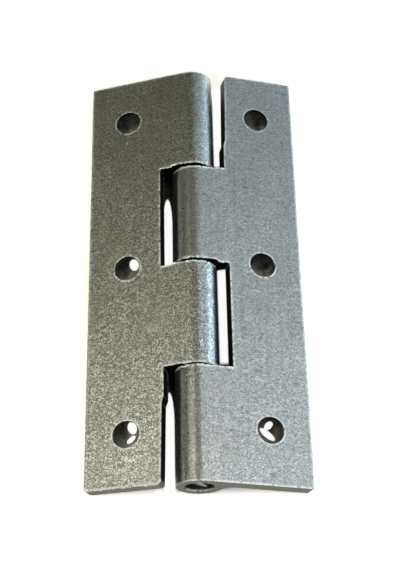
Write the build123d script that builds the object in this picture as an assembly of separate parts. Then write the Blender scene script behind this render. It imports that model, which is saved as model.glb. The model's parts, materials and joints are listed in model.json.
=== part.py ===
from build123d import *

import os
from math import asin, atan2, cos, degrees, hypot, radians, sin, sqrt, tan

# Butt hinge with two leaves and four knuckles on one plain pin.
# It lies as it comes to rest, with the barrel and both outer edges on the
# surface and the smooth faces up. X runs across the leaves, Y along the pin,
# Z up. The origin is on that surface, under the middle of the barrel.
# Each leaf is first made flat, with the pin axis through the origin, the plate
# towards +X and its smooth face up, and is then turned into its place.

# Overall sizes, in millimetres
hinge_length = 100.0
leaf_reach = 23.5
leaf_thickness = 3.1
barrel_radius = 4.75

# Pin and its bores
pin_radius = 3.15
running_clearance = 0.05
pin_recess = 0.8
crop_ridge_turn = 45.0
shallow_crop = 12.0
steep_crop = 48.0

# Roundings of the leaf profile
web_radius = 3.2
face_edge_radius = 0.6
back_edge_radius = 0.45
corner_radius = 0.7
inner_corner_radius = 0.8

# The two end knuckles, and the gaps between neighbours from the far end to the near end
far_knuckle = 25.25
near_knuckle = 25.05
far_gap = 1.05
middle_gap = 0.95
near_gap = 0.6
middle_gap_shift = -0.08

# Along the pin, how near a plate's edge stands to the end of the opposite knuckle
far_edge_clearance = 0.6
middle_edge_clearance = 0.4
near_edge_clearance = 0.45

# How far a plate's edge is set back from its own knuckle's end, or stands past it, and its step
left_middle_setback = 0.35
left_near_slant = 0.15
right_far_lip = 0.3
step_start = 3.6
step_ramp = 0.5

# Distance from the barrel to the edge of the opposite leaf
middle_notch_clearance = 1.85
end_notch_clearance = 1.35
end_notch_relief = 0.45
end_notch_flare = 0.3
tight_length = 6.5
relief_ramp = 1.5

# Screw holes, three in a row along each leaf, sunk for screw heads from the back
hole_radius = 2.95
hole_end_distance = 11.5
hole_edge_distance = 9.2
hole_row_shift = 0.2
hole_land = 0.8
sink_angle = 90.0

# How far the outer corners stand beyond a square end, far end then near end
left_corner_offsets = (-0.65, 0.0)
right_corner_offsets = (0.3, 0.3)

# Worked out from the sizes above
half_length = hinge_length / 2
back_height = barrel_radius - leaf_thickness
running_radius = pin_radius + running_clearance
first_end = half_length - far_knuckle
second_start = first_end - far_gap
second_end = middle_gap_shift + middle_gap / 2
third_start = middle_gap_shift - middle_gap / 2
fourth_start = near_knuckle - half_length
third_end = fourth_start + near_gap
middle_notch_reach = barrel_radius + middle_notch_clearance
tight_reach = barrel_radius + end_notch_clearance
wide_reach = tight_reach + end_notch_relief
mouth_reach = wide_reach + end_notch_flare
step_reach = step_start + step_ramp
inner_reach = -2 * barrel_radius
cut_margin = barrel_radius
hole_pitch = half_length - hole_end_distance


def resting_tilt():
    """Tilt of each leaf, in degrees, at which barrel and outer edges touch one surface."""
    edge_reach = leaf_reach - back_edge_radius
    edge_height = back_height + back_edge_radius
    drop = barrel_radius - back_edge_radius
    return degrees(asin(drop / hypot(edge_reach, edge_height)) + atan2(edge_height, edge_reach))


def point_at(centre, radius, angle):
    """Point on a circle in the profile, the angle in degrees."""
    return (centre[0] + radius * cos(radians(angle)), centre[1] + radius * sin(radians(angle)))


def leaf_profile():
    """Knuckle and plate in one outline, with a hollow fillet where they meet at the back."""
    web_height = back_height - web_radius
    web_reach = sqrt((barrel_radius + web_radius) ** 2 - web_height ** 2)
    web_centre = (web_reach, web_height)
    web_angle = degrees(atan2(web_height, web_reach))
    web_start = point_at((0, 0), barrel_radius, web_angle)
    web_end = (web_reach, back_height)
    crown = (0, barrel_radius)
    face_centre = (leaf_reach - face_edge_radius, barrel_radius - face_edge_radius)
    back_centre = (leaf_reach - back_edge_radius, back_height + back_edge_radius)
    face_start = point_at(face_centre, face_edge_radius, 90)
    face_end = point_at(face_centre, face_edge_radius, 0)
    back_start = point_at(back_centre, back_edge_radius, 0)
    back_end = point_at(back_centre, back_edge_radius, -90)
    with BuildSketch() as profile:
        with BuildLine():
            Line(crown, face_start)
            ThreePointArc(face_start, point_at(face_centre, face_edge_radius, 45), face_end)
            Line(face_end, back_start)
            ThreePointArc(back_start, point_at(back_centre, back_edge_radius, -45), back_end)
            Line(back_end, web_end)
            web_middle = (90 + web_angle + 180) / 2
            ThreePointArc(web_end, point_at(web_centre, web_radius, web_middle), web_start)
            barrel_middle = (web_angle - 270) / 2
            ThreePointArc(web_start, point_at((0, 0), barrel_radius, barrel_middle), crown)
        make_face()
    return profile.sketch


def plan_prism(points):
    """Upright prism over an outline in X and Y, taller than the whole leaf."""
    with BuildSketch(Plane.XY.offset(-2 * barrel_radius)) as outline:
        with BuildLine():
            Polyline(*points, close=True)
        make_face()
    return extrude(outline.sketch, amount=4 * barrel_radius)


def leaf_plan(far_offset, near_offset):
    """Outline of the whole leaf seen from above, its two outer corners rounded."""
    points = [
        (inner_reach, -half_length),
        (0, -half_length),
        (leaf_reach, -half_length - near_offset),
        (leaf_reach, half_length + far_offset),
        (0, half_length),
        (inner_reach, half_length),
    ]
    solid = plan_prism(points)
    outer_edges = solid.edges().filter_by(Axis.Z).group_by(Axis.X)[-1]
    return fillet(outer_edges, corner_radius)


def middle_notch(low, high, plate_low, plate_high):
    """Space for a knuckle of the other leaf, its two ends stepped where the plate begins."""
    return plan_prism(
        [
            (inner_reach, low),
            (step_start, low),
            (step_reach, plate_low),
            (middle_notch_reach, plate_low),
            (middle_notch_reach, plate_high),
            (step_reach, plate_high),
            (step_start, high),
            (inner_reach, high),
        ]
    )


def end_notch(closed, plate_closed, slant, outward):
    """Space at a leaf's end, tighter next to its closed side and flared towards the end."""
    corner = plate_closed + outward * slant
    relief_start = corner + outward * tight_length
    relief_end = relief_start + outward * relief_ramp
    mouth = outward * (half_length + corner_radius)
    outside = outward * (half_length + cut_margin)
    return plan_prism(
        [
            (inner_reach, outside),
            (mouth_reach, outside),
            (mouth_reach, mouth),
            (wide_reach, relief_end),
            (tight_reach, relief_start),
            (tight_reach, corner),
            (step_reach, plate_closed),
            (step_start, closed),
            (inner_reach, closed),
        ]
    )


def rounded_inner_corner(leaf, outward):
    """Leaf with the upright edge rounded where its end notch runs out of its end."""
    corner = (mouth_reach, outward * half_length, (back_height + barrel_radius) / 2)
    edge = leaf.edges().filter_by(Axis.Z).sort_by_distance(corner)[0]
    return fillet(edge, inner_corner_radius)


def pin_bore(radius, start, end):
    """Cylinder along the pin axis between two places along Y."""
    return Plane.XZ.offset(-end) * Cylinder(
        radius, end - start, align=(Align.CENTER, Align.CENTER, Align.MIN)
    )


def screw_holes(row_shift):
    """Three cylinders through the plate, each with the cone of its countersink."""
    reach = leaf_reach - hole_edge_distance
    sink_top = barrel_radius - hole_land
    sink_depth = sink_top - back_height + cut_margin
    sink_widening = sink_depth * tan(radians(sink_angle / 2))
    tools = []
    for row in (-1, 0, 1):
        place = (reach, row_shift + row * hole_pitch)
        tools.append(Pos(*place, 0) * Cylinder(hole_radius, 4 * barrel_radius))
        sink = Cone(hole_radius + sink_widening, hole_radius, sink_depth)
        tools.append(Pos(*place, sink_top - sink_depth / 2) * sink)
    return tools


def leaf_blank(corner_offsets, row_shift):
    """Leaf with its ends and screw holes, still with barrel along its whole length."""
    reach_past_end = half_length + cut_margin
    bar = extrude(Plane.XZ.offset(-reach_past_end) * leaf_profile(), amount=2 * reach_past_end)
    return (bar & leaf_plan(*corner_offsets)) - screw_holes(row_shift)


def left_leaf():
    """Leaf that carries the first and third knuckle from the far end."""
    leaf = leaf_blank(left_corner_offsets, -hole_row_shift)
    far_edge = second_start + far_edge_clearance
    near_edge = fourth_start + near_edge_clearance
    leaf -= middle_notch(third_start, first_end, third_start - left_middle_setback, far_edge)
    leaf -= end_notch(third_end, near_edge, left_near_slant, -1)
    leaf -= pin_bore(running_radius, -half_length - 1, half_length + 1)
    return rounded_inner_corner(leaf, -1).mirror(Plane.YZ)


def right_leaf():
    """Leaf that carries the second and fourth knuckle, the pin held fast in the fourth."""
    leaf = leaf_blank(right_corner_offsets, hole_row_shift)
    middle_edge = third_start + middle_edge_clearance
    leaf -= middle_notch(fourth_start, second_end, fourth_start, middle_edge)
    leaf -= end_notch(second_start, second_start + right_far_lip, 0, 1)
    tight_end = (fourth_start + third_end) / 2
    leaf -= pin_bore(pin_radius, -half_length - 1, tight_end)
    leaf -= pin_bore(running_radius, tight_end, half_length + 1)
    return rounded_inner_corner(leaf, 1)


def crop_plane(end, slope, side):
    """One flat of a cropped pin end, leaning back from the ridge to one side of it."""
    across = radians(crop_ridge_turn)
    lean = radians(slope)
    normal = (side * sin(across) * sin(lean), end * cos(lean), side * cos(across) * sin(lean))
    return Plane(origin=(0, end * (half_length - pin_recess), 0), z_dir=normal)


def hinge_pin():
    """Plain rod cropped to a blunt ridge at both ends, a little inside the barrel."""
    pin = pin_bore(pin_radius, -half_length, half_length)
    for end in (-1, 1):
        pin = split(pin, bisect_by=crop_plane(end, shallow_crop, -1), keep=Keep.BOTTOM)
        pin = split(pin, bisect_by=crop_plane(end, steep_crop, 1), keep=Keep.BOTTOM)
    return pin


def turned(shape, tilt):
    """Shape turned about the pin axis and lifted until the barrel lies on the surface."""
    return Pos(0, 0, barrel_radius) * Rot(0, tilt, 0) * shape


tilt = resting_tilt()
pieces = {
    "left_leaf": turned(left_leaf(), -tilt),
    "right_leaf": turned(right_leaf(), tilt),
    "hinge_pin": turned(hinge_pin(), tilt),
}

os.makedirs("parts", exist_ok=True)
for name, shape in pieces.items():
    solids = shape.solids()
    piece = solids[0] if len(solids) == 1 else Compound(children=solids)
    piece.label = name
    export_step(piece, f"parts/{name}.step")
    box = piece.bounding_box()
    print(name, len(solids), "solid", round(piece.volume, 2), "mm3", box.min, box.max)
print("tilt", round(tilt, 3))
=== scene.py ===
import json
import math
import random

import bpy
from mathutils import Matrix, Vector


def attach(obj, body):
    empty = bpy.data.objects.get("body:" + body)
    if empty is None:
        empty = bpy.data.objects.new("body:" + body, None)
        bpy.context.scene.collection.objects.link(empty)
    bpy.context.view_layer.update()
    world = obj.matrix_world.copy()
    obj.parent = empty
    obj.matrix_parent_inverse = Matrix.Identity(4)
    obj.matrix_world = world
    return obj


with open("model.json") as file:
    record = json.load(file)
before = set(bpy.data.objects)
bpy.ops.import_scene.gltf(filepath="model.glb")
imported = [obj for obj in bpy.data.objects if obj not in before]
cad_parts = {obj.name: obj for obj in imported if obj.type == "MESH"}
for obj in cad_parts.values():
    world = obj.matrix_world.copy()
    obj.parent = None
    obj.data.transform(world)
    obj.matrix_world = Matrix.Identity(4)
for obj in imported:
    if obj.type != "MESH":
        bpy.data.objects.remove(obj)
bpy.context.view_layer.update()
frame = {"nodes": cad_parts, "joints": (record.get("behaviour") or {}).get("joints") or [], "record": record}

MM = 0.001


def mount(name):
    """One of the record's mounts, by name."""
    return next(entry for entry in frame["record"]["mounts"] if entry["name"] == name)


# The barrel lies on the floor, so its radius is the height of the pin's axis
AXIS_HEIGHT = frame["joints"][0]["pos_m"][2]
BARREL_RADIUS = AXIS_HEIGHT
LEAF_TILT = math.asin(mount("right_outer_face")["axis"][0])


# Small helpers for node trees

class Tree:
    """A node tree with short calls for adding nodes and joining them."""

    def __init__(self, tree):
        self.nodes = tree.nodes
        self.links = tree.links

    def add(self, kind, **settings):
        node = self.nodes.new(kind)
        for key, value in settings.items():
            setattr(node, key, value)
        return node

    def put(self, value, socket):
        """Link a socket, or set a plain number, or a colour of three parts."""
        if isinstance(value, bpy.types.NodeSocket):
            self.links.new(value, socket)
        elif isinstance(value, tuple):
            socket.default_value = (*value, 1.0)
        else:
            socket.default_value = value

    def math(self, operation, *values, clamp=False):
        node = self.add("ShaderNodeMath", operation=operation, use_clamp=clamp)
        for value, socket in zip(values, node.inputs):
            self.put(value, socket)
        return node.outputs[0]

    def size(self, value):
        """A number without its sign."""
        return self.math("ABSOLUTE", value)

    def square(self, value):
        return self.math("POWER", value, 2.0)

    def both(self, *masks):
        """Where all the masks hold: their product."""
        product = masks[0]
        for mask in masks[1:]:
            product = self.math("MULTIPLY", product, mask)
        return product

    def either(self, *masks):
        """Where any of the masks holds: the largest."""
        largest = masks[0]
        for mask in masks[1:]:
            largest = self.math("MAXIMUM", largest, mask)
        return largest

    def ramp(self, value, low, high, to_low=0.0, to_high=1.0, smooth=True):
        node = self.add("ShaderNodeMapRange", interpolation_type="SMOOTHSTEP" if smooth else "LINEAR")
        self.put(value, node.inputs["Value"])
        node.inputs["From Min"].default_value = low
        node.inputs["From Max"].default_value = high
        node.inputs["To Min"].default_value = to_low
        node.inputs["To Max"].default_value = to_high
        return node.outputs[0]

    def between(self, value, low, high, soft):
        """1 between two limits and 0 outside them, with soft ends just inside the limits."""
        return self.both(self.ramp(value, low, low + soft), self.ramp(value, high, high - soft))

    def mix(self, factor, first, second):
        node = self.add("ShaderNodeMix", data_type="RGBA")
        self.put(factor, node.inputs["Factor"])
        self.put(first, node.inputs["A"])
        self.put(second, node.inputs["B"])
        return node.outputs["Result"]

    def noise(self, vector, scale, detail=2.0, rough=0.5):
        node = self.add("ShaderNodeTexNoise")
        self.put(vector, node.inputs["Vector"])
        node.inputs["Scale"].default_value = scale
        node.inputs["Detail"].default_value = detail
        node.inputs["Roughness"].default_value = rough
        return node.outputs["Fac"]

    def crystals(self, vector, scale):
        """A random number for each of many small cells."""
        cells = self.add("ShaderNodeTexVoronoi", feature="F1")
        self.put(vector, cells.inputs["Vector"])
        cells.inputs["Scale"].default_value = scale
        parts = self.add("ShaderNodeSeparateColor")
        self.put(cells.outputs["Color"], parts.inputs[0])
        return parts.outputs["Red"]

    def shifted(self, vector, shift):
        node = self.add("ShaderNodeVectorMath", operation="ADD")
        self.put(vector, node.inputs[0])
        node.inputs[1].default_value = (shift, shift, 0.0)
        return node.outputs["Vector"]

    def stretched(self, vector, scales, turn=0.0):
        node = self.add("ShaderNodeMapping")
        self.put(vector, node.inputs["Vector"])
        node.inputs["Scale"].default_value = scales
        node.inputs["Rotation"].default_value = (0.0, 0.0, math.radians(turn))
        return node.outputs["Vector"]

    def split(self, vector):
        """X, Y and Z of a vector."""
        node = self.add("ShaderNodeSeparateXYZ")
        self.put(vector, node.inputs[0])
        return node.outputs["X"], node.outputs["Y"], node.outputs["Z"]

    def add_shaders(self, first, second):
        node = self.add("ShaderNodeAddShader")
        self.put(first, node.inputs[0])
        self.put(second, node.inputs[1])
        return node.outputs[0]

    def surface(self, shader, kind="ShaderNodeOutputMaterial"):
        self.put(shader, self.add(kind).inputs["Surface"])


def new_material(name):
    material = bpy.data.materials.new(name)
    material.use_nodes = True
    material.node_tree.nodes.clear()
    return material, Tree(material.node_tree)


def darker(colour, share):
    return tuple(share * part for part in colour)


# Steel: scales of its textures, in features per metre

SPECKLE = 4600.0
GRAIN = 2900.0
CRYSTALS = 4800.0
MOTTLE = 620.0
CLOUDS = 90.0
PITS = 1500.0
RAGGED_EDGE = 1300.0
STREAKS = (1100.0, 30.0, 1100.0)
SCRATCHES = (170.0, 3000.0, 400.0)

# Turn of each field of scratches, in degrees, and how far its pattern is shifted
SCRATCH_FIELDS = ((24.0, 0.0), (-38.0, 0.31))

# Steel: between which values of its texture each layer comes in
STAIN_RANGE = (0.35, 0.7)
MOTTLE_RANGE = (0.62, 0.74)
STREAK_RANGE = (0.3, 0.7)
PIT_RANGE = (0.70, 0.78)
PITTED_CLOUDS = (0.42, 0.55)
SCRATCH_RANGE = (0.74, 0.80)
SCRATCHED_MOTTLE = (0.40, 0.55)
CUT_GRAIN_RANGE = (0.35, 0.65)
ROUGH_RANGE = (0.3, 0.7)
RAGGED_RANGE = (0.40, 0.55)

# Steel: how much of each layer shows at its strongest
FLECK_SHARE = 0.8
STAIN_SHARE = 0.35
MOTTLE_SHARE = 0.45
STREAK_SHARE = 0.18
PIT_SHARE = 0.5
SCRATCH_SHARE = 0.40
CUT_GRAIN_SHARE = 0.4
# Steep flats, such as one facet of the pin's cut end, are darkened as painted shade
STEEP_SHADE_SHARE = 0.85

# Steel: the mottling and pits as shares of the dark colour, and the cuts' grain as a share of theirs
MOTTLE_SHADE = 0.55
PIT_SHADE = 0.35
CUT_GRAIN_SHADE = 0.6

# Steel: the mean of the raw tone, and the mean share of the light colour that it is brought to
RAW_TONE = 0.367
MEAN_TONE = 0.30

# Steel: colours that all pieces share
SCRATCH = (0.85, 0.85, 0.83)
# Near white of the bright edges: partly wear, partly a painted highlight
WORN_AND_HIGHLIT = (0.98, 0.98, 0.96)
# Cut faces inside the gaps, notches, bores and hole walls: near black, painted shade
SHADED_INNER_CUT = (0.03, 0.028, 0.022)
# Cut faces at the hinge's two ends: dark, partly the cut's own colour and partly painted shade
SHADED_OUTER_CUT = (0.07, 0.066, 0.05)
SUNK_DARK = (0.13, 0.128, 0.118)
SUNK_LIGHT = (0.24, 0.235, 0.22)

# Places along the pin between which the grain's contrast and the bright edges, partly wear and partly a
# painted highlight, grow towards the near end
CONTRAST_SPAN = (45 * MM, -35 * MM)
BRIGHT_EDGE_SPAN = (45 * MM, 0.0)
FAR_BRIGHT_EDGE = 0.45

# Distances from the pin's axis that tell the faces of a leaf apart
BORE_LIMIT = (0.92 * BARREL_RADIUS, 0.88 * BARREL_RADIUS)
NOTCH_LIMIT = (1.03 * BARREL_RADIUS, 1.06 * BARREL_RADIUS)
SUNK_LIMIT = (8.8 * MM, 9.0 * MM)
OUTER_EDGE_LIMIT = (22.8 * MM, 22.0 * MM)

# Distances from the middle, along the pin, at which the hinge's two end faces begin
END_LIMIT = (48.8 * MM, 49.2 * MM)

# Sizes of the Z part of the way out of a face: of walls, of all faces but the level ones, and of the cones
WALL_LEVEL = (0.75, 0.5)
SLANT_LEVEL = (0.93, 0.88)
CONE_LEVEL = (0.35, 0.45)

# Sizes of the Y part of the way out of a face: of bores, of faces across the bar, and of steep flats, with
# their soft ends
BORE_LENGTHWISE = (0.5, 0.3)
ACROSS_LENGTHWISE = (0.8, 0.95)
STEEP_LENGTHWISE = (0.55, 0.78, 0.07)

# The bright edges, partly wear and partly a painted highlight, start and are full at these cosines between a
# face's own facing and its bevelled one, and between these upward parts of its facing, where they look up to
# the lamps
BRIGHT_EDGE_LIKENESS = (0.9985, 0.985)
LIT_EDGE_UPWARD = (0.15, 0.40)

# Roughness of the steel, and what a cut and the bright edges, worn and with a painted highlight, add to it
ROUGHNESS = (0.34, 0.40)
CUT_ROUGHNESS = 0.12
BRIGHT_EDGE_ROUGHNESS = 0.50

EDGE_WIDTH = 0.8 * MM
GRAIN_HEIGHT = 0.09 * MM


class Surface:
    """Sockets that say where on the hinge a point is, how its face is turned and how its grain is there."""

    def __init__(self, t):
        place = t.add("ShaderNodeTexCoord")
        self.at = place.outputs["Object"]
        x, self.y, z = t.split(self.at)
        _, normal_y, self.normal_z = t.split(place.outputs["Normal"])
        self.lengthwise = t.size(normal_y)
        self.level = t.size(self.normal_z)
        above_axis = t.math("SUBTRACT", z, AXIS_HEIGHT)
        self.from_axis = t.math("SQRT", t.math("ADD", t.square(x), t.square(above_axis)))
        self.speckle = t.noise(self.at, SPECKLE, detail=0.0)
        self.grain = t.noise(self.at, GRAIN, detail=1.0, rough=0.6)
        self.mottle = t.noise(self.at, MOTTLE, detail=3.0, rough=0.6)
        self.clouds = t.noise(self.at, CLOUDS, detail=4.0, rough=0.55)


def rolled_face(t, s, light, dark, stain, far_contrast, near_contrast):
    """Colour of an uncut face: bright crystals, stains, mottling, streaks, pits and scratches."""
    fleck = t.square(t.crystals(s.at, CRYSTALS))
    tone = t.math(
        "ADD",
        t.math("MULTIPLY", fleck, FLECK_SHARE),
        t.math("MULTIPLY", s.grain, 1 - FLECK_SHARE),
    )
    contrast = t.ramp(s.y, *CONTRAST_SPAN, far_contrast, near_contrast, smooth=False)
    tone = t.math("MULTIPLY_ADD", t.math("SUBTRACT", tone, RAW_TONE), contrast, MEAN_TONE)
    colour = t.mix(tone, dark, light)

    colour = t.mix(t.ramp(s.clouds, *STAIN_RANGE, 0.0, STAIN_SHARE), colour, stain)
    mottle = t.ramp(s.mottle, *MOTTLE_RANGE, 0.0, MOTTLE_SHARE)
    colour = t.mix(mottle, colour, darker(dark, MOTTLE_SHADE))
    streaks = t.noise(t.stretched(s.at, STREAKS), 1.0)
    colour = t.mix(t.ramp(streaks, *STREAK_RANGE, 0.0, STREAK_SHARE), colour, dark)
    pits = t.ramp(t.noise(s.at, PITS, detail=0.0), *PIT_RANGE)
    pits = t.both(pits, t.ramp(s.clouds, *PITTED_CLOUDS), PIT_SHARE)
    colour = t.mix(pits, colour, darker(dark, PIT_SHADE))
    for turn, shift in SCRATCH_FIELDS:
        lines = t.noise(t.stretched(t.shifted(s.at, shift), SCRATCHES, turn), 1.0, detail=0.0)
        scratch = t.both(t.ramp(lines, *SCRATCH_RANGE), t.ramp(s.mottle, *SCRATCHED_MOTTLE), SCRATCH_SHARE)
        colour = t.mix(scratch, colour, SCRATCH)
    return colour


def cut_faces(t, s):
    """Masks of all the cut faces, of those at the hinge's two ends, and of the cones of the sunk holes."""
    within_edge = t.ramp(s.from_axis, *OUTER_EDGE_LIMIT)
    notch = t.both(t.ramp(s.from_axis, *NOTCH_LIMIT), t.ramp(s.level, *WALL_LEVEL), within_edge)
    sunk = t.both(t.ramp(s.from_axis, *SUNK_LIMIT), within_edge, t.ramp(s.level, *SLANT_LEVEL))
    bore = t.both(t.ramp(s.from_axis, *BORE_LIMIT), t.ramp(s.lengthwise, *BORE_LENGTHWISE))
    cut = t.either(notch, sunk, bore, t.ramp(s.lengthwise, *ACROSS_LENGTHWISE))
    at_ends = t.ramp(t.size(s.y), *END_LIMIT)
    cones = t.both(sunk, t.ramp(s.level, *CONE_LEVEL))
    return cut, at_ends, cones


def edge_wear_and_highlight(t, s, at_ends):
    """Mask of the bright ragged edges that look up, where a wide bevel would turn the face: partly wear and
    partly a painted highlight, stronger at the ends and weaker towards the far end.
    """
    geometry = t.add("ShaderNodeNewGeometry")
    bevel = t.add("ShaderNodeBevel", samples=6)
    bevel.inputs["Radius"].default_value = EDGE_WIDTH
    likeness = t.add("ShaderNodeVectorMath", operation="DOT_PRODUCT")
    t.put(bevel.outputs["Normal"], likeness.inputs[0])
    t.put(geometry.outputs["Normal"], likeness.inputs[1])
    edge = t.ramp(likeness.outputs["Value"], *BRIGHT_EDGE_LIKENESS)
    ragged = t.ramp(t.noise(s.at, RAGGED_EDGE, detail=3.0, rough=0.7), *RAGGED_RANGE)
    edge = t.both(edge, ragged, t.ramp(s.normal_z, *LIT_EDGE_UPWARD))
    edge = t.math("MULTIPLY", edge, t.math("ADD", at_ends, 1.0), clamp=True)
    return t.both(edge, t.ramp(s.y, *BRIGHT_EDGE_SPAN, FAR_BRIGHT_EDGE, 1.0, smooth=False))


def bare_steel(name, light, dark, stain, far_contrast, near_contrast, outer_cut=SHADED_OUTER_CUT):
    """Drawn steel with a fine blasted grain, dark cut faces that are partly painted shade, and bright edges
    that are partly wear and partly a painted highlight.
    """
    material, t = new_material(name)
    s = Surface(t)
    colour = rolled_face(t, s, light, dark, stain, far_contrast, near_contrast)

    cut, at_ends, cones = cut_faces(t, s)
    # Cut faces inside the hinge take the near black painted shade; those at its two ends take the end colour
    # given
    cut_colour = t.mix(at_ends, SHADED_INNER_CUT, outer_cut)
    cut_grain = t.ramp(s.grain, *CUT_GRAIN_RANGE, 0.0, CUT_GRAIN_SHARE)
    cut_colour = t.mix(cut_grain, cut_colour, darker(outer_cut, CUT_GRAIN_SHADE))
    colour = t.mix(cut, colour, cut_colour)
    colour = t.mix(cones, colour, t.mix(s.grain, SUNK_DARK, SUNK_LIGHT))
    # Steep flats are darkened towards the near black cut: painted shade
    steep_shade = t.both(t.between(s.lengthwise, *STEEP_LENGTHWISE), STEEP_SHADE_SHARE)
    colour = t.mix(steep_shade, colour, SHADED_INNER_CUT)

    # Edges that look up are painted near white: partly wear, partly a painted highlight
    bright_edge = edge_wear_and_highlight(t, s, at_ends)
    colour = t.mix(bright_edge, colour, WORN_AND_HIGHLIT)
    rough = t.ramp(s.grain, *ROUGH_RANGE, *ROUGHNESS)
    rough = t.math("ADD", rough, t.math("MULTIPLY", cut, CUT_ROUGHNESS))
    rough = t.math("ADD", rough, t.math("MULTIPLY", bright_edge, BRIGHT_EDGE_ROUGHNESS), clamp=True)

    relief = t.math("ADD", t.math("MULTIPLY", s.grain, 0.5), t.math("MULTIPLY", s.speckle, 0.5))
    bump = t.add("ShaderNodeBump")
    bump.inputs["Strength"].default_value = 1.0
    bump.inputs["Distance"].default_value = GRAIN_HEIGHT
    t.put(relief, bump.inputs["Height"])

    shader = t.add("ShaderNodeBsdfPrincipled")
    t.put(colour, shader.inputs["Base Color"])
    t.put(rough, shader.inputs["Roughness"])
    t.put(bump.outputs["Normal"], shader.inputs["Normal"])
    # The bright edges are not metallic, so they show bright from any side, as a painted highlight
    t.put(t.math("MULTIPLY_ADD", bright_edge, -1.0, 1.0), shader.inputs["Metallic"])
    t.surface(shader.outputs["BSDF"])
    return material


# The left leaf's steel is a touch warmer than the right's: painted warmth of the warmer light on that side
steels = {
    "left_leaf": bare_steel(
        "left_leaf_steel",
        light=(1.00, 1.00, 0.96),
        dark=(0.20, 0.20, 0.186),
        stain=(0.37, 0.367, 0.345),
        far_contrast=0.8,
        near_contrast=1.55,
    ),
    "right_leaf": bare_steel(
        "right_leaf_steel",
        light=(1.00, 1.00, 0.99),
        dark=(0.20, 0.20, 0.197),
        stain=(0.37, 0.369, 0.360),
        far_contrast=0.55,
        near_contrast=0.80,
    ),
    "hinge_pin": bare_steel(
        "pin_steel",
        light=(0.60, 0.59, 0.57),
        dark=(0.25, 0.245, 0.235),
        stain=(0.36, 0.35, 0.33),
        far_contrast=0.6,
        near_contrast=0.6,
        outer_cut=(0.42, 0.42, 0.40),
    ),
}
for node, steel in steels.items():
    materials = frame["nodes"][node].data.materials
    materials.clear()
    materials.append(steel)


# Burrs along the cut edges, in millimetres

AXIS = AXIS_HEIGHT / MM
RADIUS = BARREL_RADIUS / MM

# Where a burr begins, down the barrel's side, in degrees from upright
FLANK = -70.0

# Where a notch steps from the knuckle's end to the plate's edge, and how long the step is
STEP_END = 4.1
STEP_LENGTH = 0.5

# Places over a knuckle, and the distance between places on a plate and along a leaf's end
KNUCKLE_STEPS = 40
PLATE_SPACING = 0.18
END_SPACING = 0.15

# The rings of a burr: points in each, and radius where it is broken off
RING_POINTS = 5
BROKEN_RADIUS = 0.01

# How far a ring's middle is sunk in the face and set out of the cut, as shares of the ring's radius
SUNK_SHARE = 0.2
PROUD_SHARE = 0.3

# The slow swelling of a burr, as shares of its full radius, and the quick change from ring to ring
FIRST_SWELL = 0.5
SWELL_STEP = 0.5
LEAST_SWELL = 0.3
LEAST_FLUTTER = 0.8

# No burr stands above the barrel, or quite as high
TOP_CLEARANCE = 0.001
HIGHEST = 2 * RADIUS - TOP_CLEARANCE

# Way from the pin to each leaf, along X
LEFT = -1
RIGHT = 1

# Full radius of a burr and the share of it that is broken off, at the gaps and at the left leaf's end
GAP_BURR = (0.20, 0.22)
END_BURR = (0.24, 0.5)

# The burrs at the gaps: end of the knuckle and edge of its plate, along the pin, how far out along the plate
# the burr runs, and the way along the pin that the cut looks
LEFT_GAPS = (
    (24.75, 24.30, 6.5, -1),
    (-0.555, -0.905, 6.5, 1),
    (-24.35, -24.50, 6.0, -1),
)
RIGHT_GAPS = (
    (23.70, 24.00, 6.0, 1),
    (0.395, -0.155, 6.5, -1),
    (-24.95, -24.95, 6.5, 1),
)

# The burr on the left leaf's near end: place along the pin, and where it starts and stops out along the plate
LEFT_END = (-50.0, 7.3, 22.6)

LEFT_SEED = 11
RIGHT_SEED = 12

# Burrs: their metal
TORN = 2600.0
TORN_RANGE = (0.35, 0.5)
TORN_DARK = (0.40, 0.40, 0.39)
# Near white of the burrs: partly bright torn metal, partly a painted glint
TORN_BRIGHT_AND_GLINT = (0.97, 0.97, 0.95)
TORN_ROUGHNESS = (0.28, 0.5)
TORN_METALLIC = 0.5


def burr_steel():
    """Bright torn metal of the burrs; its near-white parts, only half metallic, are partly a painted glint.
    """
    material, t = new_material("burr_steel")
    torn = t.noise(t.add("ShaderNodeTexCoord").outputs["Object"], TORN, rough=0.6)
    shader = t.add("ShaderNodeBsdfPrincipled")
    t.put(t.mix(t.ramp(torn, *TORN_RANGE), TORN_DARK, TORN_BRIGHT_AND_GLINT), shader.inputs["Base Color"])
    t.put(t.ramp(torn, *ROUGH_RANGE, *TORN_ROUGHNESS), shader.inputs["Roughness"])
    shader.inputs["Metallic"].default_value = TORN_METALLIC
    t.surface(shader.outputs["BSDF"])
    return material


def plate_place(side, along, y):
    """Place on a plate's face, some way out from the pin: x, y, z, and X and Z of the way out of the face."""
    x = side * (along * math.cos(LEAF_TILT) + RADIUS * math.sin(LEAF_TILT))
    z = AXIS - along * math.sin(LEAF_TILT) + RADIUS * math.cos(LEAF_TILT)
    return x, y, z, side * math.sin(LEAF_TILT), math.cos(LEAF_TILT)


def gap_line(side, knuckle_y, plate_y, reach):
    """Places along a cut edge at a gap: over the knuckle, then over the step and out along the plate."""
    places = []
    start = math.radians(FLANK)
    for step in range(KNUCKLE_STEPS + 1):
        angle = start + (LEAF_TILT - start) * step / KNUCKLE_STEPS
        out_x, out_z = side * math.sin(angle), math.cos(angle)
        places.append((RADIUS * out_x, knuckle_y, AXIS + RADIUS * out_z, out_x, out_z))
    steps = int(reach / PLATE_SPACING)
    for step in range(1, steps + 1):
        along = reach * step / steps
        stepped = min(max((along - STEP_END + STEP_LENGTH) / STEP_LENGTH, 0.0), 1.0)
        places.append(plate_place(side, along, knuckle_y + (plate_y - knuckle_y) * stepped))
    return places


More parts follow.
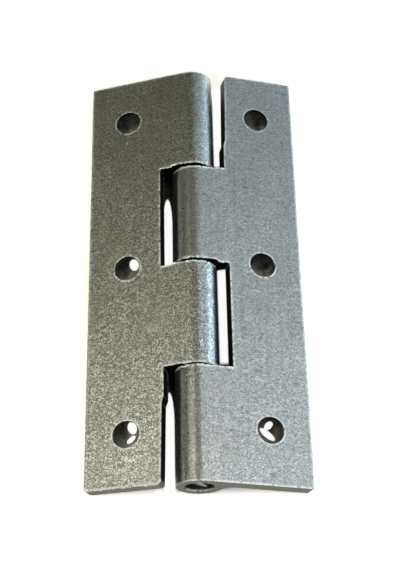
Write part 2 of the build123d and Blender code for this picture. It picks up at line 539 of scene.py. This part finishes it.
def end_line(side, y, start, stop):
    """Places along the end of a leaf."""
    steps = int((stop - start) / END_SPACING)
    return [plate_place(side, start + (stop - start) * step / steps, y) for step in range(steps + 1)]


def burr(rng, places, outward, thickest, broken):
    """Ragged thread of metal along an edge, as the points of its rings and its faces."""
    points, faces = [], []
    swell = FIRST_SWELL
    for number, (x, y, z, out_x, out_z) in enumerate(places):
        swell = min(max(swell + rng.uniform(-SWELL_STEP, SWELL_STEP), LEAST_SWELL), 1.0)
        radius = thickest * swell * rng.uniform(LEAST_FLUTTER, 1.0)
        if rng.random() < broken:
            radius = BROKEN_RADIUS
        for corner in range(RING_POINTS):
            angle = 2 * math.pi * corner / RING_POINTS
            lift = radius * math.cos(angle) - SUNK_SHARE * radius
            off = radius * math.sin(angle) + PROUD_SHARE * radius * outward
            height = min(z + out_z * lift, HIGHEST)
            points.append(((x + out_x * lift) * MM, (y + off) * MM, height * MM))
        if number:
            last = number * RING_POINTS
            before = last - RING_POINTS
            for corner in range(RING_POINTS):
                following = (corner + 1) % RING_POINTS
                faces.append((before + corner, before + following, last + following, last + corner))
    faces.append(tuple(range(RING_POINTS)))
    faces.append(tuple(range(len(points) - 1, len(points) - 1 - RING_POINTS, -1)))
    return points, faces


def leaf_burrs(name, body, seed, edges, material):
    """One piece with the burrs of all a leaf's edges, riding with that leaf."""
    rng = random.Random(seed)
    points, faces = [], []
    for places, outward, thickest, broken in edges:
        more_points, more_faces = burr(rng, places, outward, thickest, broken)
        faces += [tuple(len(points) + corner for corner in face) for face in more_faces]
        points += more_points
    mesh = bpy.data.meshes.new(name)
    mesh.from_pydata(points, [], faces)
    mesh.validate()
    mesh.materials.append(material)
    piece = bpy.data.objects.new(name, mesh)
    bpy.context.scene.collection.objects.link(piece)
    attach(piece, body)


def gap_edges(side, gaps):
    """The edges at a leaf's gaps, each with the way that its cut looks and the size of its burr."""
    return [(gap_line(side, *line), outward, *GAP_BURR) for *line, outward in gaps]


torn_steel = burr_steel()
left_end = (end_line(LEFT, *LEFT_END), 0, *END_BURR)
leaf_burrs("left_burrs", "left_side", LEFT_SEED, [*gap_edges(LEFT, LEFT_GAPS), left_end], torn_steel)
leaf_burrs("right_burrs", "right_side", RIGHT_SEED, gap_edges(RIGHT, RIGHT_GAPS), torn_steel)


# Floor

FLOOR_SIZE = 1.6
FLOOR_DROP = 0.02 * MM

# How far round a point of the floor looks for metal over it, and the share of open sky between dark and plain
SKY_REACH = 10 * MM
OPEN_SKY = (0.29, 0.40)

# The paper where it is looked at, in the open and deep under the hinge, where it is painted shade, and where
# it only throws light
PAPER = (0.93, 0.93, 0.93)
DEEP_SHADE = (0.06, 0.055, 0.045)
PAPER_AS_LIGHT = (0.6, 0.6, 0.6)

# What is added to it in the open so that it shows white, the glow of the painted light patches, and the
# painted light that lifts the shadow
EXTRA_WHITE = (1.0, 0.9, 0.86)
LIT_GLOW = 0.95
SHADOW_LIFT = 0.22

# Soft outline of a patch of light, as the square of the distance over its half width, and the soft ends and
# sides of a strip
STRIP_OUTLINE = (1.12, 0.88)
OVAL_OUTLINE = (1.15, 0.85)
SOFT_END = 1 * MM
SOFT_SIDE = 0.4 * MM

# The painted light under the left slots: its middle and half width across the hinge, length of its rounded
# far end, and the far and near end of each strip
LEFT_LIGHT_MIDDLE = -6.03 * MM
LEFT_LIGHT_HALF_WIDTH = 1.05 * MM
LEFT_LIGHT_ROUNDING = 7 * MM
LEFT_LIGHTS = ((20.4 * MM, -1.5 * MM), (-27.7 * MM, -49.5 * MM))

# The painted light under the right slots: its two sides across the hinge, where the far strip starts and
# stops, and the near strip's two ends
RIGHT_LIGHT = (4.9 * MM, 7.4 * MM)
FAR_RIGHT_START = (28.8 * MM, 29.8 * MM)
FAR_RIGHT_STOP = (52 * MM, 50 * MM)
NEAR_RIGHT = (-21.5 * MM, 2.4 * MM)

# Painted light under the screw holes, where light falls through: middle across and along, half length, half
# width, all in millimetres, and turn in degrees
LIT_SPOTS = (
    (-13.73, 3.42, 1.43, 1.04, -83.1),
    (-13.94, -35.47, 1.38, 0.97, -76.6),
    (-14.13, -38.06, 1.15, 0.50, 42.8),
    (15.00, -35.44, 1.11, 0.73, 47.9),
    (14.67, -37.37, 1.98, 0.68, -42.5),
)

# The floor beyond the leaves where the hinge's shadow falls and is lifted with painted light: past the left
# edge and past the near end
LEFT_SHADOW = (-22.2 * MM, -23.2 * MM)
NEAR_SHADOW = (-49.0 * MM, -50.2 * MM)


def left_light(t, x, y, far, near):
    """Strip of painted light under a left slot, rounded at its far end."""
    off_middle = t.math("DIVIDE", t.math("SUBTRACT", x, LEFT_LIGHT_MIDDLE), LEFT_LIGHT_HALF_WIDTH)
    past_round = t.math("SUBTRACT", y, far - LEFT_LIGHT_ROUNDING)
    past_round = t.either(t.math("DIVIDE", past_round, LEFT_LIGHT_ROUNDING), 0.0)
    reach = t.math("ADD", t.square(t.size(off_middle)), t.square(past_round))
    return t.both(t.ramp(reach, *STRIP_OUTLINE), t.ramp(y, near - SOFT_END, near))


def right_lights(t, x, y):
    """Two strips of painted light under the right slots."""
    far = t.ramp(y, *FAR_RIGHT_START)
    near = t.between(y, *NEAR_RIGHT, SOFT_END)
    sides = t.between(x, *RIGHT_LIGHT, SOFT_SIDE)
    return t.both(sides, t.either(far, near), t.ramp(y, *FAR_RIGHT_STOP))


def hole_light(t, x, y, across, along, half_length, half_width, turn):
    """Oval patch of painted light under a screw hole."""
    turned_x, turned_y = math.cos(math.radians(turn)), math.sin(math.radians(turn))
    off_x = t.math("SUBTRACT", x, across * MM)
    off_y = t.math("SUBTRACT", y, along * MM)
    squares = []
    for way_x, way_y, half in ((turned_x, turned_y, half_length), (-turned_y, turned_x, half_width)):
        share_x = t.math("MULTIPLY", off_x, way_x / (half * MM))
        share_y = t.math("MULTIPLY", off_y, way_y / (half * MM))
        share = t.math("ADD", share_x, share_y)
        squares.append(t.both(share, share))
    return t.ramp(t.math("ADD", *squares), *OVAL_OUTLINE)


def pale_floor():
    """Pale paper with painted shade deep under the hinge, painted light under the slots and holes that only
    the camera sees, and the shadow past the left edge and the near end lifted with painted light.
    """
    bpy.ops.mesh.primitive_plane_add(size=FLOOR_SIZE, location=(0, 0, -FLOOR_DROP))
    floor = bpy.context.object
    floor.name = "floor"
    material, t = new_material("floor_paper")
    x, y, _ = t.split(t.add("ShaderNodeTexCoord").outputs["Object"])
    path = t.add("ShaderNodeLightPath")
    by_camera = path.outputs["Is Camera Ray"]
    looked_at = t.either(by_camera, path.outputs["Is Glossy Ray"], path.outputs["Is Transmission Ray"])

    # Painted shade: where metal hides much of its sky, the paper is drawn near black for the camera and in
    # reflections
    sky = t.add("ShaderNodeAmbientOcclusion", samples=12)
    sky.inputs["Distance"].default_value = SKY_REACH
    open_sky = t.ramp(sky.outputs["AO"], *OPEN_SKY)
    paper = t.add("ShaderNodeBsdfDiffuse")
    t.put(t.mix(looked_at, PAPER_AS_LIGHT, t.mix(open_sky, DEEP_SHADE, PAPER)), paper.inputs["Color"])

    seen_in_open = t.both(looked_at, open_sky)
    extra = t.add("ShaderNodeBsdfDiffuse")
    t.put(t.mix(seen_in_open, (0.0, 0.0, 0.0), EXTRA_WHITE), extra.inputs["Color"])

    # Painted light: patches under the slots and holes that glow for the camera only
    left_lights = [left_light(t, x, y, far, near) for far, near in LEFT_LIGHTS]
    hole_lights = [hole_light(t, x, y, *lit_spot) for lit_spot in LIT_SPOTS]
    lit = t.either(*left_lights, right_lights(t, x, y), *hole_lights)
    # Painted light that lifts the hinge's shadow past the left edge and the near end, for the camera and in
    # reflections
    shadow = t.either(t.ramp(x, *LEFT_SHADOW), t.ramp(y, *NEAR_SHADOW))
    glow = t.add("ShaderNodeEmission")
    strength = t.math("ADD", t.both(by_camera, lit, LIT_GLOW), t.both(seen_in_open, shadow, SHADOW_LIFT))
    t.put(strength, glow.inputs["Strength"])

    reflected = t.add_shaders(paper.outputs[0], extra.outputs[0])
    t.surface(t.add_shaders(reflected, glow.outputs[0]))
    floor.data.materials.append(material)


pale_floor()


# World: a soft room, dim and warm to the left, bright and cool to the right

# Place across, from -1 at the left to 1 at the right, and colour there
ROOM_COLOURS = (
    (-1.0, (0.048, 0.044, 0.024)),
    (-0.6, (0.071, 0.068, 0.025)),
    (0.0, (0.063, 0.059, 0.025)),
    (0.5, (0.381, 0.470, 0.506)),
    (1.0, (0.678, 0.845, 0.988)),
)


def room():
    world = bpy.data.worlds.new("room")
    bpy.context.scene.world = world
    world.use_nodes = True
    world.node_tree.nodes.clear()
    t = Tree(world.node_tree)
    x, _, _ = t.split(t.add("ShaderNodeTexCoord").outputs["Generated"])
    across = t.add("ShaderNodeValToRGB")
    stops = across.color_ramp.elements
    while len(stops) < len(ROOM_COLOURS):
        stops.new(0.5)
    for stop, (place, colour) in zip(stops, ROOM_COLOURS):
        stop.position = (place + 1) / 2
        stop.color = (*colour, 1.0)
    t.put(t.math("MULTIPLY_ADD", x, 0.5, 0.5), across.inputs["Fac"])
    background = t.add("ShaderNodeBackground")
    t.put(across.outputs["Color"], background.inputs["Color"])
    t.surface(background.outputs[0], "ShaderNodeOutputWorld")


room()


# Lamps: four soft squares overhead, and a low cool window to the right

CEILING_DISTANCE = 1.0
CEILING_LAMP_ANGLE = 7.5


def lamp(name, place, target, size, radiance, colour):
    """Rectangular soft lamp. A lamp's power is its radiance times pi times its area."""
    data = bpy.data.lights.new(name, "AREA")
    data.shape = "RECTANGLE"
    data.size, data.size_y = size
    data.energy = radiance * math.pi * size[0] * size[1]
    data.color = colour
    lamp_object = bpy.data.objects.new(name, data)
    bpy.context.scene.collection.objects.link(lamp_object)
    lamp_object.location = place
    toward = Vector(target) - Vector(place)
    lamp_object.rotation_mode = "QUATERNION"
    lamp_object.rotation_quaternion = toward.to_track_quat("-Z", "Y")


def ceiling_lamp(name, lean_x, lean_y, share, colour):
    """Square lamp seen from the hinge along (lean_x, lean_y, 1), its share of white on a level card given."""
    line = Vector((lean_x, lean_y, 1.0)).normalized()
    side = 2 * CEILING_DISTANCE * math.tan(math.radians(CEILING_LAMP_ANGLE) / 2)
    radiance = share * math.pi * CEILING_DISTANCE ** 2 / (side ** 2 * line.z)
    lamp(name, line * CEILING_DISTANCE, (0, 0, 0), (side, side), radiance, colour)


ceiling_lamp("far_left", lean_x=-0.56, lean_y=0.03, share=0.184, colour=(1.0, 0.99, 0.845))
ceiling_lamp("far_right", lean_x=0.49, lean_y=0.13, share=0.117, colour=(1.0, 0.97, 0.91))
ceiling_lamp("near_left", lean_x=-0.50, lean_y=-0.90, share=0.13, colour=(1.0, 0.97, 0.90))
ceiling_lamp("near_right", lean_x=0.60, lean_y=-0.90, share=0.11, colour=(0.95, 0.98, 1.0))
lamp(
    "window",
    place=(0.90, 0.26, 0.13),
    target=(0, 0, 0.005),
    size=(0.35, 0.24),
    radiance=7.6,
    colour=(0.68, 1.0, 1.28),
)


# Camera at the photo's angle, its focal length in pixels of the photo and its sensor in millimetres

CAMERA_PLACE = Vector((-3.3501, -116.89, 234.327)) * MM
AZIMUTH = math.radians(2.2213)
ELEVATION = math.radians(63.8392)
ROLL = math.radians(1.2015)
FOCAL_PX = 1158.81
PHOTO_WIDTH_PX = 400.0
SENSOR_WIDTH = 36.0
CLIP_NEAR = 0.01
CLIP_FAR = 10.0


def camera():
    forward = Vector(
        (
            math.sin(AZIMUTH) * math.cos(ELEVATION),
            math.cos(AZIMUTH) * math.cos(ELEVATION),
            -math.sin(ELEVATION),
        )
    )
    level = Vector((math.cos(AZIMUTH), -math.sin(AZIMUTH), 0.0))
    upward = level.cross(forward)
    right = math.cos(ROLL) * level + math.sin(ROLL) * upward
    up = -math.sin(ROLL) * level + math.cos(ROLL) * upward
    data = bpy.data.cameras.new("photo_camera")
    data.sensor_fit = "HORIZONTAL"
    data.sensor_width = SENSOR_WIDTH
    data.lens = FOCAL_PX * SENSOR_WIDTH / PHOTO_WIDTH_PX
    data.clip_start = CLIP_NEAR
    data.clip_end = CLIP_FAR
    eye = bpy.data.objects.new("photo_camera", data)
    bpy.context.scene.collection.objects.link(eye)
    facing = Matrix((right, up, -forward)).transposed().to_4x4()
    eye.matrix_world = Matrix.Translation(CAMERA_PLACE) @ facing
    bpy.context.scene.camera = eye


camera()

bpy.context.scene.view_settings.view_transform = "Standard"
